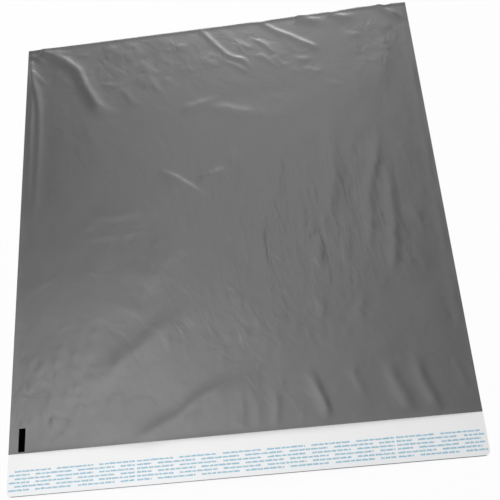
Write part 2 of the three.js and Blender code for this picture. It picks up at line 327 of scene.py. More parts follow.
# Where the film is bent, as the camera sees it drawn down onto the floor. Each crease gives its
# points, then its rise, its near and far reach, its blunt radius, its ends and its shelf.
CREASES = [
    # The left side, where the film swells beside the weld.
    Crease(
        [(-302, 322), (-299, 302), (-294, 280), (-288, 258), (-284, 232), (-282, 200), (-282, 110),
         (-285, 50), (-289, -10)],
        2.4, 5, 5, 1.2, (0.04, 0.8), 0.1,
    ),
    Crease([(-302, 290), (-299, 264), (-296, 232), (-296, 190), (-295, 110), (-296, 50)],
           1.5, 4, 4, 1, (0.35, 0.7)),
    Crease([(-303, 335), (-293, 329), (-283, 321), (-270, 313)], 1.0, 4, 3, 1, (0.2, 0.4)),
    Crease([(-299, 306), (-290, 294), (-282, 284), (-270, 270)], 0.8, 4, 3, 1, (0.2, 0.4)),
    # The upper left: one long hooked tuck, and small lines beside it.
    Crease(
        [(-286, 340), (-264, 329), (-247, 318), (-233, 305), (-222, 293), (-214, 276), (-206, 257),
         (-197, 240), (-189, 225), (-175, 214), (-156, 208)],
        3.3, 8.6, 6.3, 1.4, (0.04, 0.2), 0.35,
    ),
    Crease([(-264, 338), (-248, 331), (-232, 328)], 0.6, 3, 4, 1),
    Crease([(-184, 333), (-160, 322), (-138, 306), (-120, 298)], 0.7, 9, 8, 2),
    Crease([(-186, 262), (-164, 256), (-150, 244), (-136, 226), (-122, 212)], 0.7, 3, 2.6, 0.8),
    Crease([(-172, 240), (-164, 226), (-152, 216)], 0.6, 3, 2.6, 0.8),
    Crease([(-162, 246), (-154, 232), (-142, 216)], 0.6, 3, 2.6, 0.8),
    Crease([(-146, 248), (-138, 230), (-126, 212)], 0.5, 3, 2.6, 0.8),
    # The upper middle: soft lines that run down from the fold.
    Crease([(-152, 339), (-132, 326), (-121, 312), (-116, 300)], 0.5, 6, 5, 1.5),
    Crease([(-118, 300), (-110, 280), (-104, 262), (-96, 243), (-84, 222)], 0.7, 5, 4, 1.2),
    Crease([(-126, 270), (-117, 256), (-108, 242)], 0.4, 5, 4, 1.5),
    Crease([(-98, 339), (-78, 326), (-60, 315), (-36, 302)], 0.35, 7, 5, 1.5),
    # The strong tucks right of the middle, with fine lines beside them.
    Crease(
        [(-22, 342), (-9, 325), (1, 311), (10, 299), (19, 288), (31, 280), (42, 276), (48, 269), (53, 258),
         (59, 247)],
        1.2, 4.5, 2.6, 0.7, (0.04, 0.3),
    ),
    Crease([(4, 342), (20, 326), (36, 309), (50, 297), (58, 284)], 0.35, 8, 5, 1.5),
    Crease([(2, 288), (12, 280), (22, 270)], 0.35, 3, 2.4, 0.8),
    Crease([(18, 274), (30, 267), (40, 258), (52, 247)], 0.7, 3.5, 2.2, 0.7),
    Crease([(38, 307), (50, 299), (62, 293)], 0.4, 4, 2.6, 0.8),
    Crease([(64, 309), (76, 300), (87, 287), (97, 277)], 0.7, 3.2, 2.2, 0.7),
    Crease([(68, 282), (80, 272), (90, 260), (100, 249)], 0.6, 3.5, 2.0, 0.7),
    Crease([(88, 274), (100, 262), (110, 248)], 0.45, 3.5, 2.0, 0.7),
    Crease(
        [(76, 343), (92, 327), (108, 316), (122, 307), (134, 298), (146, 290), (154, 284), (160, 272)],
        1.2, 5, 2.4, 0.7, (0.04, 0.15),
    ),
    # The upper right: short flat tucks under the fold, and the corner's own.
    Crease([(132, 343), (147, 336), (160, 332), (186, 331)], 1.9, 8, 6, 1.4, (0.1, 0.5)),
    Crease([(182, 342), (196, 335), (208, 331), (232, 330)], 1.7, 7, 5, 1.2, (0.1, 0.5)),
    Crease([(150, 325), (190, 323), (240, 322)], 0.3, 7, 6, 2, (0.4, 0.4)),
    Crease([(262, 345), (275, 331), (286, 320), (298, 307)], 2.2, 6, 5, 1, (0.02, 0.5)),
    Crease([(262, 303), (270, 294), (277, 284)], 0.25, 4, 3, 1),
    Crease([(252, 284), (260, 277), (269, 267)], 0.3, 4, 3, 1),
    Crease([(270, 285), (262, 255), (252, 222), (238, 180)], 0.8, 16, 12, 3, (0.45, 0.4)),
    Crease([(134, 247), (152, 237), (174, 227)], 0.35, 4, 3, 1, (0.3, 0.4)),
    Crease([(164, 217), (178, 211), (194, 204)], 0.35, 3, 2.4, 0.8, (0.3, 0.4)),
    Crease([(222, 249), (238, 244), (254, 236)], 0.25, 4, 3, 1, (0.3, 0.4)),
    Crease([(299, 340), (298, 250), (298, 0), (298, -280)], 0.35, 6, 3, 1, (0.02, 0.3)),
    # The two arcs across the upper middle, and the thin crossing crease below them.
    Crease([(-60, 197), (-40, 201), (-20, 206), (6, 212)], 1.1, 12, 5, 1.5, (0.3, 0.4)),
    Crease([(-22, 192), (5, 192), (22, 187), (38, 181), (54, 176), (104, 164)], 1.15, 18, 6, 1.5, (0.2, 0.4)),
    Crease([(80, 200), (102, 198)], 0.3, 5, 3, 1),
    Crease([(-96, 101), (-71, 85), (-49, 67), (-20, 41)], 1.6, 18, 2.0, 0.6, (0.4, 0.3)),
    Crease([(-44, 66), (-30, 75), (-14, 82), (0, 85), (16, 85)], 1.6, 11, 5, 1.4, (0.5, 0.5)),
    # Faint level lines on the left.
    Crease([(-205, 34), (-140, 33), (-70, 34)], 0.7, 5, 12, 1.5, (0.4, 0.5)),
    Crease([(-210, 1), (-140, 1), (-65, 0)], 0.4, 5, 12, 1, (0.3, 0.5)),
    Crease([(-40, -2), (-85, -45), (-128, -92)], 1.8, 40, 11, 3, (0.35, 0.35)),
    Crease([(-165, -98), (-140, -110), (-115, -127)], 0.4, 6, 6, 2, (0.35, 0.35)),
    # Long soft folds down the right half.
    Crease([(20, 122), (17, 95), (13, 60), (6, 25)], 0.8, 6, 6, 1.5, (0.35, 0.35)),
    Crease([(92, 130), (86, 95), (78, 55), (70, 15)], 0.75, 7, 6, 1.5, (0.35, 0.35)),
    Crease([(163, 155), (162, 100), (160, 60), (151, 20), (141, -28)], 1.05, 10, 9, 2.5, (0.3, 0.35)),
    Crease([(128, -34), (125, -55), (130, -85)], 0.9, 6, 6, 1.5, (0.3, 0.4)),
    Crease([(231, 135), (228, 100), (217, 60), (205, 20), (204, -20), (196, -50), (190, -75)],
           0.9, 6, 5, 1.5, (0.3, 0.3)),
    Crease([(238, 70), (235, 20), (234, -20), (230, -60), (222, -98)], 0.85, 5, 5, 1.2, (0.3, 0.2)),
    Crease([(256, 2), (268, -22), (275, -52)], 0.4, 5, 3, 1, (0.4, 0.4)),
    Crease([(51, 12), (51, -30), (53, -70)], 0.8, 8, 2.8, 1, (0.3, 0.3)),
    Crease([(111, 8), (108, -20), (112, -48)], 0.5, 5, 4, 1.2, (0.4, 0.4)),
    Crease([(2, -24), (4, -60), (6, -98)], 0.4, 5, 4, 1.5, (0.3, 0.3)),
    Crease([(166, -36), (162, -60), (169, -84)], 0.7, 6, 5, 1.5, (0.4, 0.4)),
    Crease([(126, -116), (121, -140), (116, -158)], 0.7, 6, 5, 1.5, (0.4, 0.4)),
    Crease([(179, -118), (173, -140), (165, -160)], 0.6, 6, 5, 1.5, (0.4, 0.4)),
    # The broad diagonal swells of the lower left.
    Crease(
        [(-198, -219), (-159, -190), (-124, -166), (-94, -145), (-69, -131), (-20, -114)],
        2.1, 10, 17, 2, (0.25, 0.4),
    ),
    Crease([(-71, -126), (-67, -140)], -0.3, 4, 4, 1),
    Crease(
        [(-140, -291), (-99, -273), (-74, -262), (-54, -246), (-25, -233), (0, -226), (36, -221)],
        2.2, 11, 10, 2, (0.12, 0.35),
    ),
    Crease([(-301, -160), (-272, -188), (-250, -206)], 0.3, 5, 5, 2, (0.4, 0.4)),
    # Small dents near the printed mark.
    Crease([(-260, -228), (-242, -240), (-224, -243)], 0.3, 4, 4, 1.5, (0.4, 0.4)),
    Crease([(-252, -252), (-236, -263)], 0.3, 4, 4, 1.5, (0.4, 0.4)),
    Crease([(-283, -254), (-268, -249)], 0.3, 3, 3, 1, (0.4, 0.4)),
    # The ripples at the lip.
    Crease([(5, -232), (6, -262), (5, -286)], 0.3, 6, 3, 1, (0.4, 0.2)),
    Crease([(25, -232), (26, -262), (24, -286)], 0.3, 5, 4, 1, (0.4, 0.2)),
    Crease([(50, -226), (50, -250), (50, -270), (46, -288)], 0.5, 6, 4, 1.2, (0.3, 0.2)),
    Crease([(94, -214), (104, -238), (112, -260), (117, -282)], 1.4, 9, 2.8, 0.8, (0.35, 0.3)),
    Crease([(150, -218), (157, -240), (165, -262)], 0.55, 5, 4, 1, (0.3, 0.4)),
    Crease([(198, -212), (203, -240), (213, -262), (222, -284)], 1.1, 7, 6, 1.5, (0.3, 0.3)),
    Crease([(232, -206), (238, -240), (246, -262), (256, -284)], 1.2, 7, 5, 1.2, (0.3, 0.3)),
    Crease([(280, -220), (288, -240), (293, -264)], 0.4, 5, 3, 1, (0.35, 0.3)),
]

# Where hands have dented it. Each area gives its middle, half of its size, how many dents it
# holds, the range of their slant and rise, and its seed.
DENTED = [
    DentedArea((-215, -215), (85, 80), 60, (-120, 10), (0.12, 0.32), 3),
    DentedArea((-125, 292), (135, 42), 30, (-75, -15), (0.2, 0.45), 4),
    DentedArea((130, 262), (52, 34), 12, (-65, -25), (0.2, 0.4), 5),
    DentedArea((246, 280), (36, 45), 16, (-40, 20), (0.15, 0.35), 6),
    DentedArea((20, -50), (190, 140), 80, (-115, -60), (0.15, 0.4), 8),
    DentedArea((235, 60), (55, 190), 30, (-110, -70), (0.15, 0.35), 9),
    DentedArea((60, -210), (150, 70), 26, (-105, -60), (0.15, 0.3), 10),
    DentedArea((-190, 60), (90, 150), 24, (-40, 30), (0.1, 0.25), 12),
]


@dataclass(frozen=True)
class FilmShape:
    """The surface that the laid-out film follows.

    Attributes:
        sizes: the film's sizes.
        lip_gap: how far the front panel's lip stands off the flap.
        body_gap: how far the panels stand apart beyond the lip.
        mouth_run: the length over which the one grows to the other.
        arch_power: how squarely the front panel arches between the welds.
        fold_power: how steeply it falls to the fold.
        bead: how far the folded edge itself stands up.
        flap_lift: how far the middle of the flap's free edge stands off the floor.
        lip_curl: how far the front panel's last edge turns up.
        lip_curl_run: the width of that edge.
        swell: height of the film's slow waves.
        seed: fixes the slow waves.
    """

    sizes: BagSizes = field(default_factory=BagSizes)
    lip_gap: float = 2.2
    body_gap: float = 6.5
    mouth_run: float = 220
    arch_power: float = 2.4
    fold_power: float = 5
    bead: float = 1.0
    flap_lift: float = 3.0
    lip_curl: float = 0.35
    lip_curl_run: float = 5
    swell: float = 0.22
    seed: int = 11

    # How many slow waves there are, the range of their lengths, and the length of a full one.
    WAVES = 22
    WAVE_LENGTHS = (35, 140)
    FULL_WAVE = 90
    # X of places along the folded edge, and how far the edge stands out or in there.
    EDGE_STEPS = ((-305, 0), (-60, 0), (60, 0), (76, -1.6), (92, 0), (180, 0.4), (188, -1.2),
                  (202, 0.6), (230, 2.0), (262, 1.2), (272, -0.8), (284, 0.8), (305, -0.6))
    # How far down from the fold the film follows the uneven edge.
    EDGE_RUN = 30
    # How far in from the sides the panels part, and over what width their creases fade in.
    SIDE_INSET = 0.5
    SIDE_FADE = 5
    # The panels never close to less than this, and soften toward it.
    LEAST_GAP = 0.02
    SOFTNESS = 0.25
    # How far below the fold the bead is highest, and how far it reaches.
    BEAD_BACK = 1.5
    BEAD_RUN = 3.0
    # How far inside the lip the film starts to rise toward the flap's free edge.
    FLAP_RISE_RUN = 25

    def waves(self, x: Grid, y: Grid) -> Grid:
        """Adds up slow random waves in the film.

        Args:
            x: X of each point.
            y: Y of each point.

        Returns:
            The waves' height at each point, about 0 on average.
        """
        draw = np.random.default_rng(self.seed)
        total = np.zeros_like(x)
        for _ in range(self.WAVES):
            length = draw.uniform(*self.WAVE_LENGTHS)
            angle = draw.uniform(0, math.pi)
            phase = draw.uniform(0, 2 * math.pi)
            way = x * math.cos(angle) + y * math.sin(angle)
            total += length / self.FULL_WAVE * np.sin(2 * math.pi * way / length + phase)
        return self.swell * total / math.sqrt(self.WAVES)

    def gap(self, x: Grid, y: Grid) -> Grid:
        """Works out how far the panels stand apart.

        Args:
            x: X of each point.
            y: Y of each point.

        Returns:
            The gap at each point, 0 in the welds and at the fold.
        """
        s = self.sizes
        inside = np.clip(s.side - self.SIDE_INSET - np.abs(x), 0, None)
        below = np.clip(s.fold_centre - y, 0, None)
        opening = smooth_step(y, s.lip, s.lip + self.mouth_run)
        level = self.lip_gap + (self.body_gap - self.lip_gap) * opening
        arch = 1 - np.clip(np.abs(x) / s.weld_root, 0, 1) ** self.arch_power
        toward_fold = 1 - np.clip(1 - below / s.panel, 0, 1) ** self.fold_power
        seen = as_seen(x, y, level * arch * toward_fold)
        bead = self.bead * np.exp(-(((below - self.BEAD_BACK) / self.BEAD_RUN) ** 2))
        dents = [dent for area in DENTED for dent in area.dents()]
        bent = sum(crease.lift(*seen) for crease in CREASES + dents) + self.waves(x, y) + bead
        fade = np.clip(inside / self.SIDE_FADE, 0, 1) * np.clip(below / self.BEAD_BACK, 0, 1)
        curl = self.lip_curl * np.clip(1 - (y - s.lip) / self.lip_curl_run, 0, 1) ** 2
        open_gap = level * arch * toward_fold + (bent + curl) * fade
        kept = self.SOFTNESS * np.logaddexp(0, open_gap / self.SOFTNESS) - self.SOFTNESS * math.log(2)
        return np.where((inside > 0) & (below > 0), np.clip(kept, self.LEAST_GAP, None), 0)

    def edge_shift(self, x: Grid, y: Grid) -> Grid:
        """Follows the uneven folded edge.

        Args:
            x: X of each point.
            y: Y of each point.

        Returns:
            How far each point moves along Y.
        """
        steps = np.array(self.EDGE_STEPS)
        shift = np.interp(x, steps[:, 0], steps[:, 1])
        return shift * smooth_step(y, self.sizes.fold_centre - self.EDGE_RUN, self.sizes.fold_centre)

    def flap_rise(self, x: Grid, y: Grid) -> Grid:
        """Works out how far the back panel and the flap stand off the floor.

        Args:
            x: X of each point.
            y: Y of each point.

        Returns:
            The height of the film's underside at each point.
        """
        s = self.sizes
        toward_edge = smooth_step(-y, -s.lip - self.FLAP_RISE_RUN, -s.flap_end)
        across = 1 - np.clip(np.abs(x) / s.side, 0, 1) ** 2
        return self.flap_lift * toward_edge * across


def spaced(zones: tuple[Point, ...], start: float) -> Grid:
    """Spreads lines over zones of different spacing.

    Args:
        zones: where each zone ends, and its spacing.
        start: where the first zone starts.

    Returns:
        The lines' places, with both ends among them.
    """
    places = [start]
    for end, step in zones:
        count = max(1, round((end - start) / step))
        places += np.linspace(start, end, count + 1)[1:].tolist()
        start = end
    return np.array(places)


def link_mesh(
    name: str, vertices: Grid, faces: list[tuple[int, ...]], smooth: bool = True
) -> bpy.types.Object:
    """Makes an object from vertices in millimetres.

    Args:
        name: the piece's name.
        vertices: one row for each vertex.
        faces: the vertex numbers of each face.
        smooth: whether it is shaded smooth between its sharp rims.

    Returns:
        The linked object, at the origin.
    """
    mesh = bpy.data.meshes.new(name)
    mesh.from_pydata((vertices * MM).tolist(), [], faces)
    mesh.polygons.foreach_set("use_smooth", [smooth] * len(faces))
    mesh.validate()
    mesh.update()
    if smooth:
        mesh.set_sharp_from_angle(angle=RIM_ANGLE)
    piece = bpy.data.objects.new(name, mesh)
    bpy.context.scene.collection.objects.link(piece)
    return piece


def shell_faces(rows: int, columns: int) -> tuple[list[tuple[int, ...]], int]:
    """Closes two like grids, outer then inner, into a shell.

    Args:
        rows: rows of each grid.
        columns: columns of each grid.

    Returns:
        The faces, and how many of them lie on each grid. The outer grid's come first.
    """
    j, i = np.mgrid[0 : rows - 1, 0 : columns - 1]
    a = (j * columns + i).ravel()
    b, c, d = a + 1, a + columns + 1, a + columns
    under = rows * columns
    outer = np.stack([a, b, c, d], 1)
    inner = np.stack([a, d, c, b], 1) + under
    start, end = np.arange(columns), (rows - 1) * columns + np.arange(columns)
    left, right = np.arange(rows) * columns, np.arange(rows) * columns + columns - 1
    walls = []
    for rim, turned in ((start, False), (right, False), (end, True), (left, True)):
        p, q = (rim[1:], rim[:-1]) if turned else (rim[:-1], rim[1:])
        walls.append(np.stack([q, p, p + under, q + under], 1))
    faces = np.vstack([outer, inner, *walls])
    return [tuple(face) for face in faces.tolist()], len(outer)


def add_node(
    tree: bpy.types.NodeTree, kind: str, inputs: dict[str | int, Any] | None = None, **settings: Any
) -> bpy.types.Node:
    """Adds a node with its settings and links.

    Args:
        tree: the node tree.
        kind: the node's type, without its "ShaderNode" start.
        inputs: for a socket's name or number, a value or the output socket that feeds it.
        settings: the node's own properties.

    Returns:
        The new node.
    """
    node = tree.nodes.new("ShaderNode" + kind)
    for key, value in settings.items():
        setattr(node, key, value)
    for key, value in (inputs or {}).items():
        if isinstance(value, bpy.types.NodeSocket):
            tree.links.new(value, node.inputs[key])
        else:
            node.inputs[key].default_value = value
    return node


def new_material(name: str) -> tuple[bpy.types.Material, bpy.types.NodeTree]:
    """Makes a material with an empty node tree.

    Args:
        name: the material's name.

    Returns:
        The material and its tree.
    """
    material = bpy.data.materials.new(name)
    material.use_nodes = True
    material.node_tree.nodes.clear()
    return material, material.node_tree


def finish_material(tree: bpy.types.NodeTree, shader: bpy.types.NodeSocket) -> None:
    """Joins a shader to the material's output."""
    add_node(tree, "OutputMaterial", {"Surface": shader})


@dataclass(frozen=True)
class BlownFilm:
    """Co-extruded polyethylene blown film, with a satin skin.

    Blowing and nipping leave faint bands along the web, which runs across the bag. Handling
    leaves fine crinkles in patches, and where the film was held it has short soft streaks, so
    that the sheen breaks up softly.

    Attributes:
        name: the material's name.
        colour: the skin's colour.
        deep: the colour where the pigment is a little thicker.
        roughness: the skin's roughness.
        crinkle: height of the fine crinkles, in millimetres.
        streak: height of the streaks, in millimetres.
    """

    name: str
    colour: str
    deep: str
    roughness: float
    crinkle: float = 0.35
    streak: float = 0.0

    IOR = 1.51
    # A full clear coat, as rough as what lies under it, stands for the smooth skin.
    COAT = 1.0
    # Size and detail of the pigment's clouds, and how much the roughness changes with them.
    CLOUD_SIZE = 60
    CLOUD_DETAIL = 4.0
    WEAR = 0.03
    # The crinkles' size, the way they run, their stretch, and how fine and how wavy they are.
    CRINKLE_SIZE = 19
    CRINKLE_TURN = math.radians(-30)
    CRINKLE_STRETCH = 0.62
    CRINKLE_FINENESS = 0.42
    CRINKLE_WARP = 0.8
    # Crinkles come in patches: the noise's range, and the least share of them between patches
    # and outside the handled areas.
    PATCH_SIZE = 55
    PATCH_RANGE = (0.35, 0.65)
    BETWEEN_PATCHES = 0.4
    UNHANDLED = 0.35
    # Height, width and stretch of the bands along the web.
    BAND = 0.014
    BAND_WIDTH = 7
    BAND_STRETCH = 0.04
    # The streaks' width, how wavy they are, their stretch and the way they run.
    STREAK_WIDTH = 13
    STREAK_WARP = 0.6
    STREAK_STRETCH = 0.2
    STREAK_TURN = math.radians(-7)
    # Where an area starts to fade and where it ends, as shares of half its size.
    AREA_FADE = (0.4, 1.1)
    # The middle and half the size of each handled area, in millimetres, and its share of crinkles.
    STREAKED = ((90, 15), (190, 160))
    CRINKLED = (
        ((-60, 285), (230, 60), 1.0),
        ((245, 270), (45, 60), 1.0),
        ((20, -45), (230, 150), 0.9),
        ((-225, -235), (95, 70), 0.9),
    )

    def area(
        self, tree: bpy.types.NodeTree, place: bpy.types.NodeSocket,
        middle: Point, half: Point, full: float = 1,
    ) -> bpy.types.NodeSocket:
        """Marks an oval area, fading to 0 outside it.

        Args:
            tree: the node tree.
            place: the point's place.
            middle: the area's middle, in millimetres.
            half: half of its size each way.
            full: the share at its middle.

        Returns:
            The socket that holds the share.
        """
        origin = (middle[0] * MM, middle[1] * MM, 0.0)
        away = add_node(tree, "VectorMath", {0: place, 1: origin}, operation="SUBTRACT")
        size = (half[0] * MM, half[1] * MM, 1.0)
        scaled = add_node(tree, "VectorMath", {0: away.outputs[0], 1: size}, operation="DIVIDE")
        reach = add_node(tree, "VectorMath", {0: scaled.outputs[0]}, operation="LENGTH")
        start, end = self.AREA_FADE
        fade = {"From Min": start, "From Max": end, "To Min": full, "To Max": 0.0}
        return add_node(tree, "MapRange", {"Value": reach.outputs["Value"], **fade}).outputs[0]

    def along(
        self, tree: bpy.types.NodeTree, place: bpy.types.NodeSocket, turn: float, stretch: float
    ) -> bpy.types.NodeSocket:
        """Turns a place and draws it out, so that a grain laid on it runs one way.

        Args:
            tree: the node tree.
            place: the point's place.
            turn: the angle that the place is turned by.
            stretch: the scale along the grain, below 1 for a longer grain.

        Returns:
            The socket that holds the new place.
        """
        turned = add_node(tree, "Mapping", {"Vector": place, "Rotation": (0.0, 0.0, turn)})
        drawn = add_node(tree, "Mapping", {"Vector": turned.outputs[0], "Scale": (1.0, stretch, 1.0)})
        return drawn.outputs[0]

    def bands(self, tree: bpy.types.NodeTree, place: bpy.types.NodeSocket) -> bpy.types.NodeSocket:
        """Builds the bands along the web.

        Args:
            tree: the node tree.
            place: the point's place.

        Returns:
            The socket that holds the banded normal.
        """
        web = add_node(tree, "Mapping", {"Vector": place, "Scale": (self.BAND_STRETCH, 1.0, 1.0)})
        grain = {"Vector": web.outputs[0], "Scale": 1 / (self.BAND_WIDTH * MM), "Detail": 2.0}
        height = add_node(tree, "TexNoise", grain)
        relief = {"Height": height.outputs[0], "Distance": self.BAND * MM, "Strength": 1.0}
        return add_node(tree, "Bump", relief).outputs[0]

    def crinkles(
        self, tree: bpy.types.NodeTree, place: bpy.types.NodeSocket, normal: bpy.types.NodeSocket
    ) -> bpy.types.NodeSocket:
        """Adds the patches of crinkles to a normal, fullest in the handled areas.

        Args:
            tree: the node tree.
            place: the point's place.
            normal: the normal so far.

        Returns:
            The socket that holds the crinkled normal.
        """
        coarse = {"Vector": place, "Scale": 1 / (self.PATCH_SIZE * MM), "Detail": 2.0}
        patch = add_node(tree, "TexNoise", coarse)
        low, high = self.PATCH_RANGE
        steps = {"From Min": low, "From Max": high, "To Min": self.BETWEEN_PATCHES, "To Max": 1.0}
        amount = add_node(tree, "MapRange", {"Value": patch.outputs[0], **steps})
        handled = None
        for handled_area in self.CRINKLED:
            share = self.area(tree, place, *handled_area)
            if handled:
                share = add_node(tree, "Math", {0: handled, 1: share}, operation="MAXIMUM").outputs[0]
            handled = share
        share = add_node(tree, "MapRange", {"Value": handled, "To Min": self.UNHANDLED, "To Max": 1.0})
        strength = add_node(tree, "Math", {0: amount.outputs[0], 1: share.outputs[0]}, operation="MULTIPLY")
        drawn = self.along(tree, place, self.CRINKLE_TURN, self.CRINKLE_STRETCH)
        grain = {"Vector": drawn, "Scale": 1 / (self.CRINKLE_SIZE * MM), "Distortion": self.CRINKLE_WARP}
        fine = add_node(tree, "TexNoise", {**grain, "Detail": 2.0, "Roughness": self.CRINKLE_FINENESS})
        relief = {"Height": fine.outputs[0], "Distance": self.crinkle * MM, "Strength": strength.outputs[0]}
        return add_node(tree, "Bump", {**relief, "Normal": normal}).outputs[0]

    def streaks(
        self, tree: bpy.types.NodeTree, place: bpy.types.NodeSocket, normal: bpy.types.NodeSocket
    ) -> bpy.types.NodeSocket:
        """Adds the streaks of the handled area to a normal.

        Args:
            tree: the node tree.
            place: the point's place.
            normal: the normal so far.

        Returns:
            The socket that holds the streaked normal.
        """
        amount = self.area(tree, place, *self.STREAKED)
        drawn = self.along(tree, place, self.STREAK_TURN, self.STREAK_STRETCH)
        grain = {"Vector": drawn, "Scale": 1 / (self.STREAK_WIDTH * MM), "Distortion": self.STREAK_WARP}
        soft = add_node(tree, "TexNoise", {**grain, "Detail": 2.0})
        relief = {"Height": soft.outputs[0], "Distance": self.streak * MM, "Strength": amount}
        return add_node(tree, "Bump", {**relief, "Normal": normal}).outputs[0]

    def build(self) -> bpy.types.Material:
        """Makes the material.

        Returns:
            The material.
        """
        material, tree = new_material(self.name)
        place = add_node(tree, "TexCoord").outputs["Object"]
        spread = {"Vector": place, "Scale": 1 / (self.CLOUD_SIZE * MM), "Detail": self.CLOUD_DETAIL}
        cloud = add_node(tree, "TexNoise", spread).outputs[0]
        shades = {"Factor": cloud, "A": linear(self.colour), "B": linear(self.deep)}
        pigment = add_node(tree, "Mix", shades, data_type="RGBA")
        span = {"To Min": self.roughness - self.WEAR, "To Max": self.roughness + self.WEAR}
        wear = add_node(tree, "MapRange", {"Value": cloud, **span})
        normal = self.crinkles(tree, place, self.bands(tree, place))
        if self.streak:
            normal = self.streaks(tree, place, normal)
        skin = add_node(
            tree,
            "BsdfPrincipled",
            {
                "Base Color": pigment.outputs["Result"],
                "Roughness": wear.outputs[0],
                "Normal": normal,
                "IOR": self.IOR,
                "Coat Weight": self.COAT,
                "Coat Roughness": wear.outputs[0],
                "Coat Normal": normal,
            },
        )
        finish_material(tree, skin.outputs[0])
        return material


@dataclass(frozen=True)
class SolidInk:
    """Flexographic ink printed on film: an even, slightly absorbed coat.

    The coat is thin, so the film's own satin shows through its edges as small changes of tone.

    Attributes:
        name: the material's name.
        colour: the ink's colour where the coat is full.
        thin: its colour where the coat is thin.
        roughness: the dried ink's roughness.
        speckle: size of the uneven spots, in millimetres.
        gloss: how much the ink shines, as a share of bare plastic's shine.
    """

    name: str
    colour: str
    thin: str
    roughness: float = 0.45
    speckle: float = 3
    gloss: float = 0.5

    IOR = 1.5
    # How high the spots stand, in millimetres, and how much of that the light sees.
    SPOT_HEIGHT = 0.004
    SPOT_STRENGTH = 0.6

    def build(self) -> bpy.types.Material:
        """Makes the material.

        Returns:
            The material.
        """
        material, tree = new_material(self.name)
        place = add_node(tree, "TexCoord").outputs["Object"]
        spots = {"Vector": place, "Scale": 1 / (self.speckle * MM), "Detail": 2.0}
        coat = add_node(tree, "TexNoise", spots)
        shades = {"Factor": coat.outputs[0], "A": linear(self.colour), "B": linear(self.thin)}
        tone = add_node(tree, "Mix", shades, data_type="RGBA")
        relief = {"Distance": self.SPOT_HEIGHT * MM, "Strength": self.SPOT_STRENGTH}
        bump = add_node(tree, "Bump", {"Height": coat.outputs[0], **relief})
        skin = add_node(
            tree,
            "BsdfPrincipled",
            {
                "Base Color": tone.outputs["Result"],
                "Roughness": self.roughness,
                "Specular IOR Level": self.gloss,
                "Normal": bump.outputs[0],
                "IOR": self.IOR,
            },
        )
        finish_material(tree, skin.outputs[0])
        return material


@dataclass(frozen=True)
class HotMelt:
    """Pressure-sensitive hot-melt adhesive, slot-coated: glossy cream with coating streaks.

    Attributes:
        name: the material's name.
        colour: the adhesive's colour.
        streak: the colour of its thicker streaks.
    """

    name: str = "hot_melt_adhesive"
    colour: str = "ece6cf"
    streak: str = "ddd2ad"

    IOR = 1.49
    ROUGHNESS = 0.18
    # Height, width and stretch of the coating's streaks.
    STREAK_HEIGHT = 0.01
    STREAK_WIDTH = 2.5
    STREAK_STRETCH = 0.03

    def build(self) -> bpy.types.Material:
        """Makes the material.

        Returns:
            The material.
        """
        material, tree = new_material(self.name)
        place = add_node(tree, "TexCoord").outputs["Object"]
        web = add_node(tree, "Mapping", {"Vector": place, "Scale": (self.STREAK_STRETCH, 1.0, 1.0)})
        coat = add_node(tree, "TexNoise", {"Vector": web.outputs[0], "Scale": 1 / (self.STREAK_WIDTH * MM)})
        shades = {"Factor": coat.outputs[0], "A": linear(self.colour), "B": linear(self.streak)}
        tone = add_node(tree, "Mix", shades, data_type="RGBA")
        relief = {"Distance": self.STREAK_HEIGHT * MM, "Strength": 1.0}
        bump = add_node(tree, "Bump", {"Height": coat.outputs[0], **relief})
        skin = add_node(
            tree,
            "BsdfPrincipled",
            {
                "Base Color": tone.outputs["Result"],
                "Roughness": self.ROUGHNESS,
                "Normal": bump.outputs[0],
                "IOR": self.IOR,
            },
        )
        finish_material(tree, skin.outputs[0])
        return material


def dress(piece: bpy.types.Object, slot: Slot, nodes: list[str], *materials: bpy.types.Material) -> None:
    """Gives a piece its materials and its body, and hides the CAD nodes that it stands for.

    Args:
        piece: the object.
        slot: the record's slot; not used.
        nodes: the CAD nodes that the piece replaces.
        materials: its materials, in the order of its faces' numbers.
    """
    for material in materials:
        piece.data.materials.append(material)
    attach(piece, BODY)
    if nodes:
        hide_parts(*nodes)


# The bag's own finishes.
GREY_FILM = BlownFilm("grey_blown_film", "4c4c4c", "494949", roughness=0.39, crinkle=1.5, streak=1.3)
WHITE_FILM = BlownFilm("white_blown_film", "ededed", "ebebeb", roughness=0.42, crinkle=0.2)
LINER_FILM = BlownFilm("silicone_liner_film", "ebecee", "e9ebed", roughness=0.42, crinkle=0.02)
BLACK_INK = SolidInk("black_ink", "020202", "040404", roughness=0.8, gloss=0.0)
BLUE_INK = SolidInk("blue_ink", "72adc6", "80b7ce", roughness=0.4, speckle=2)


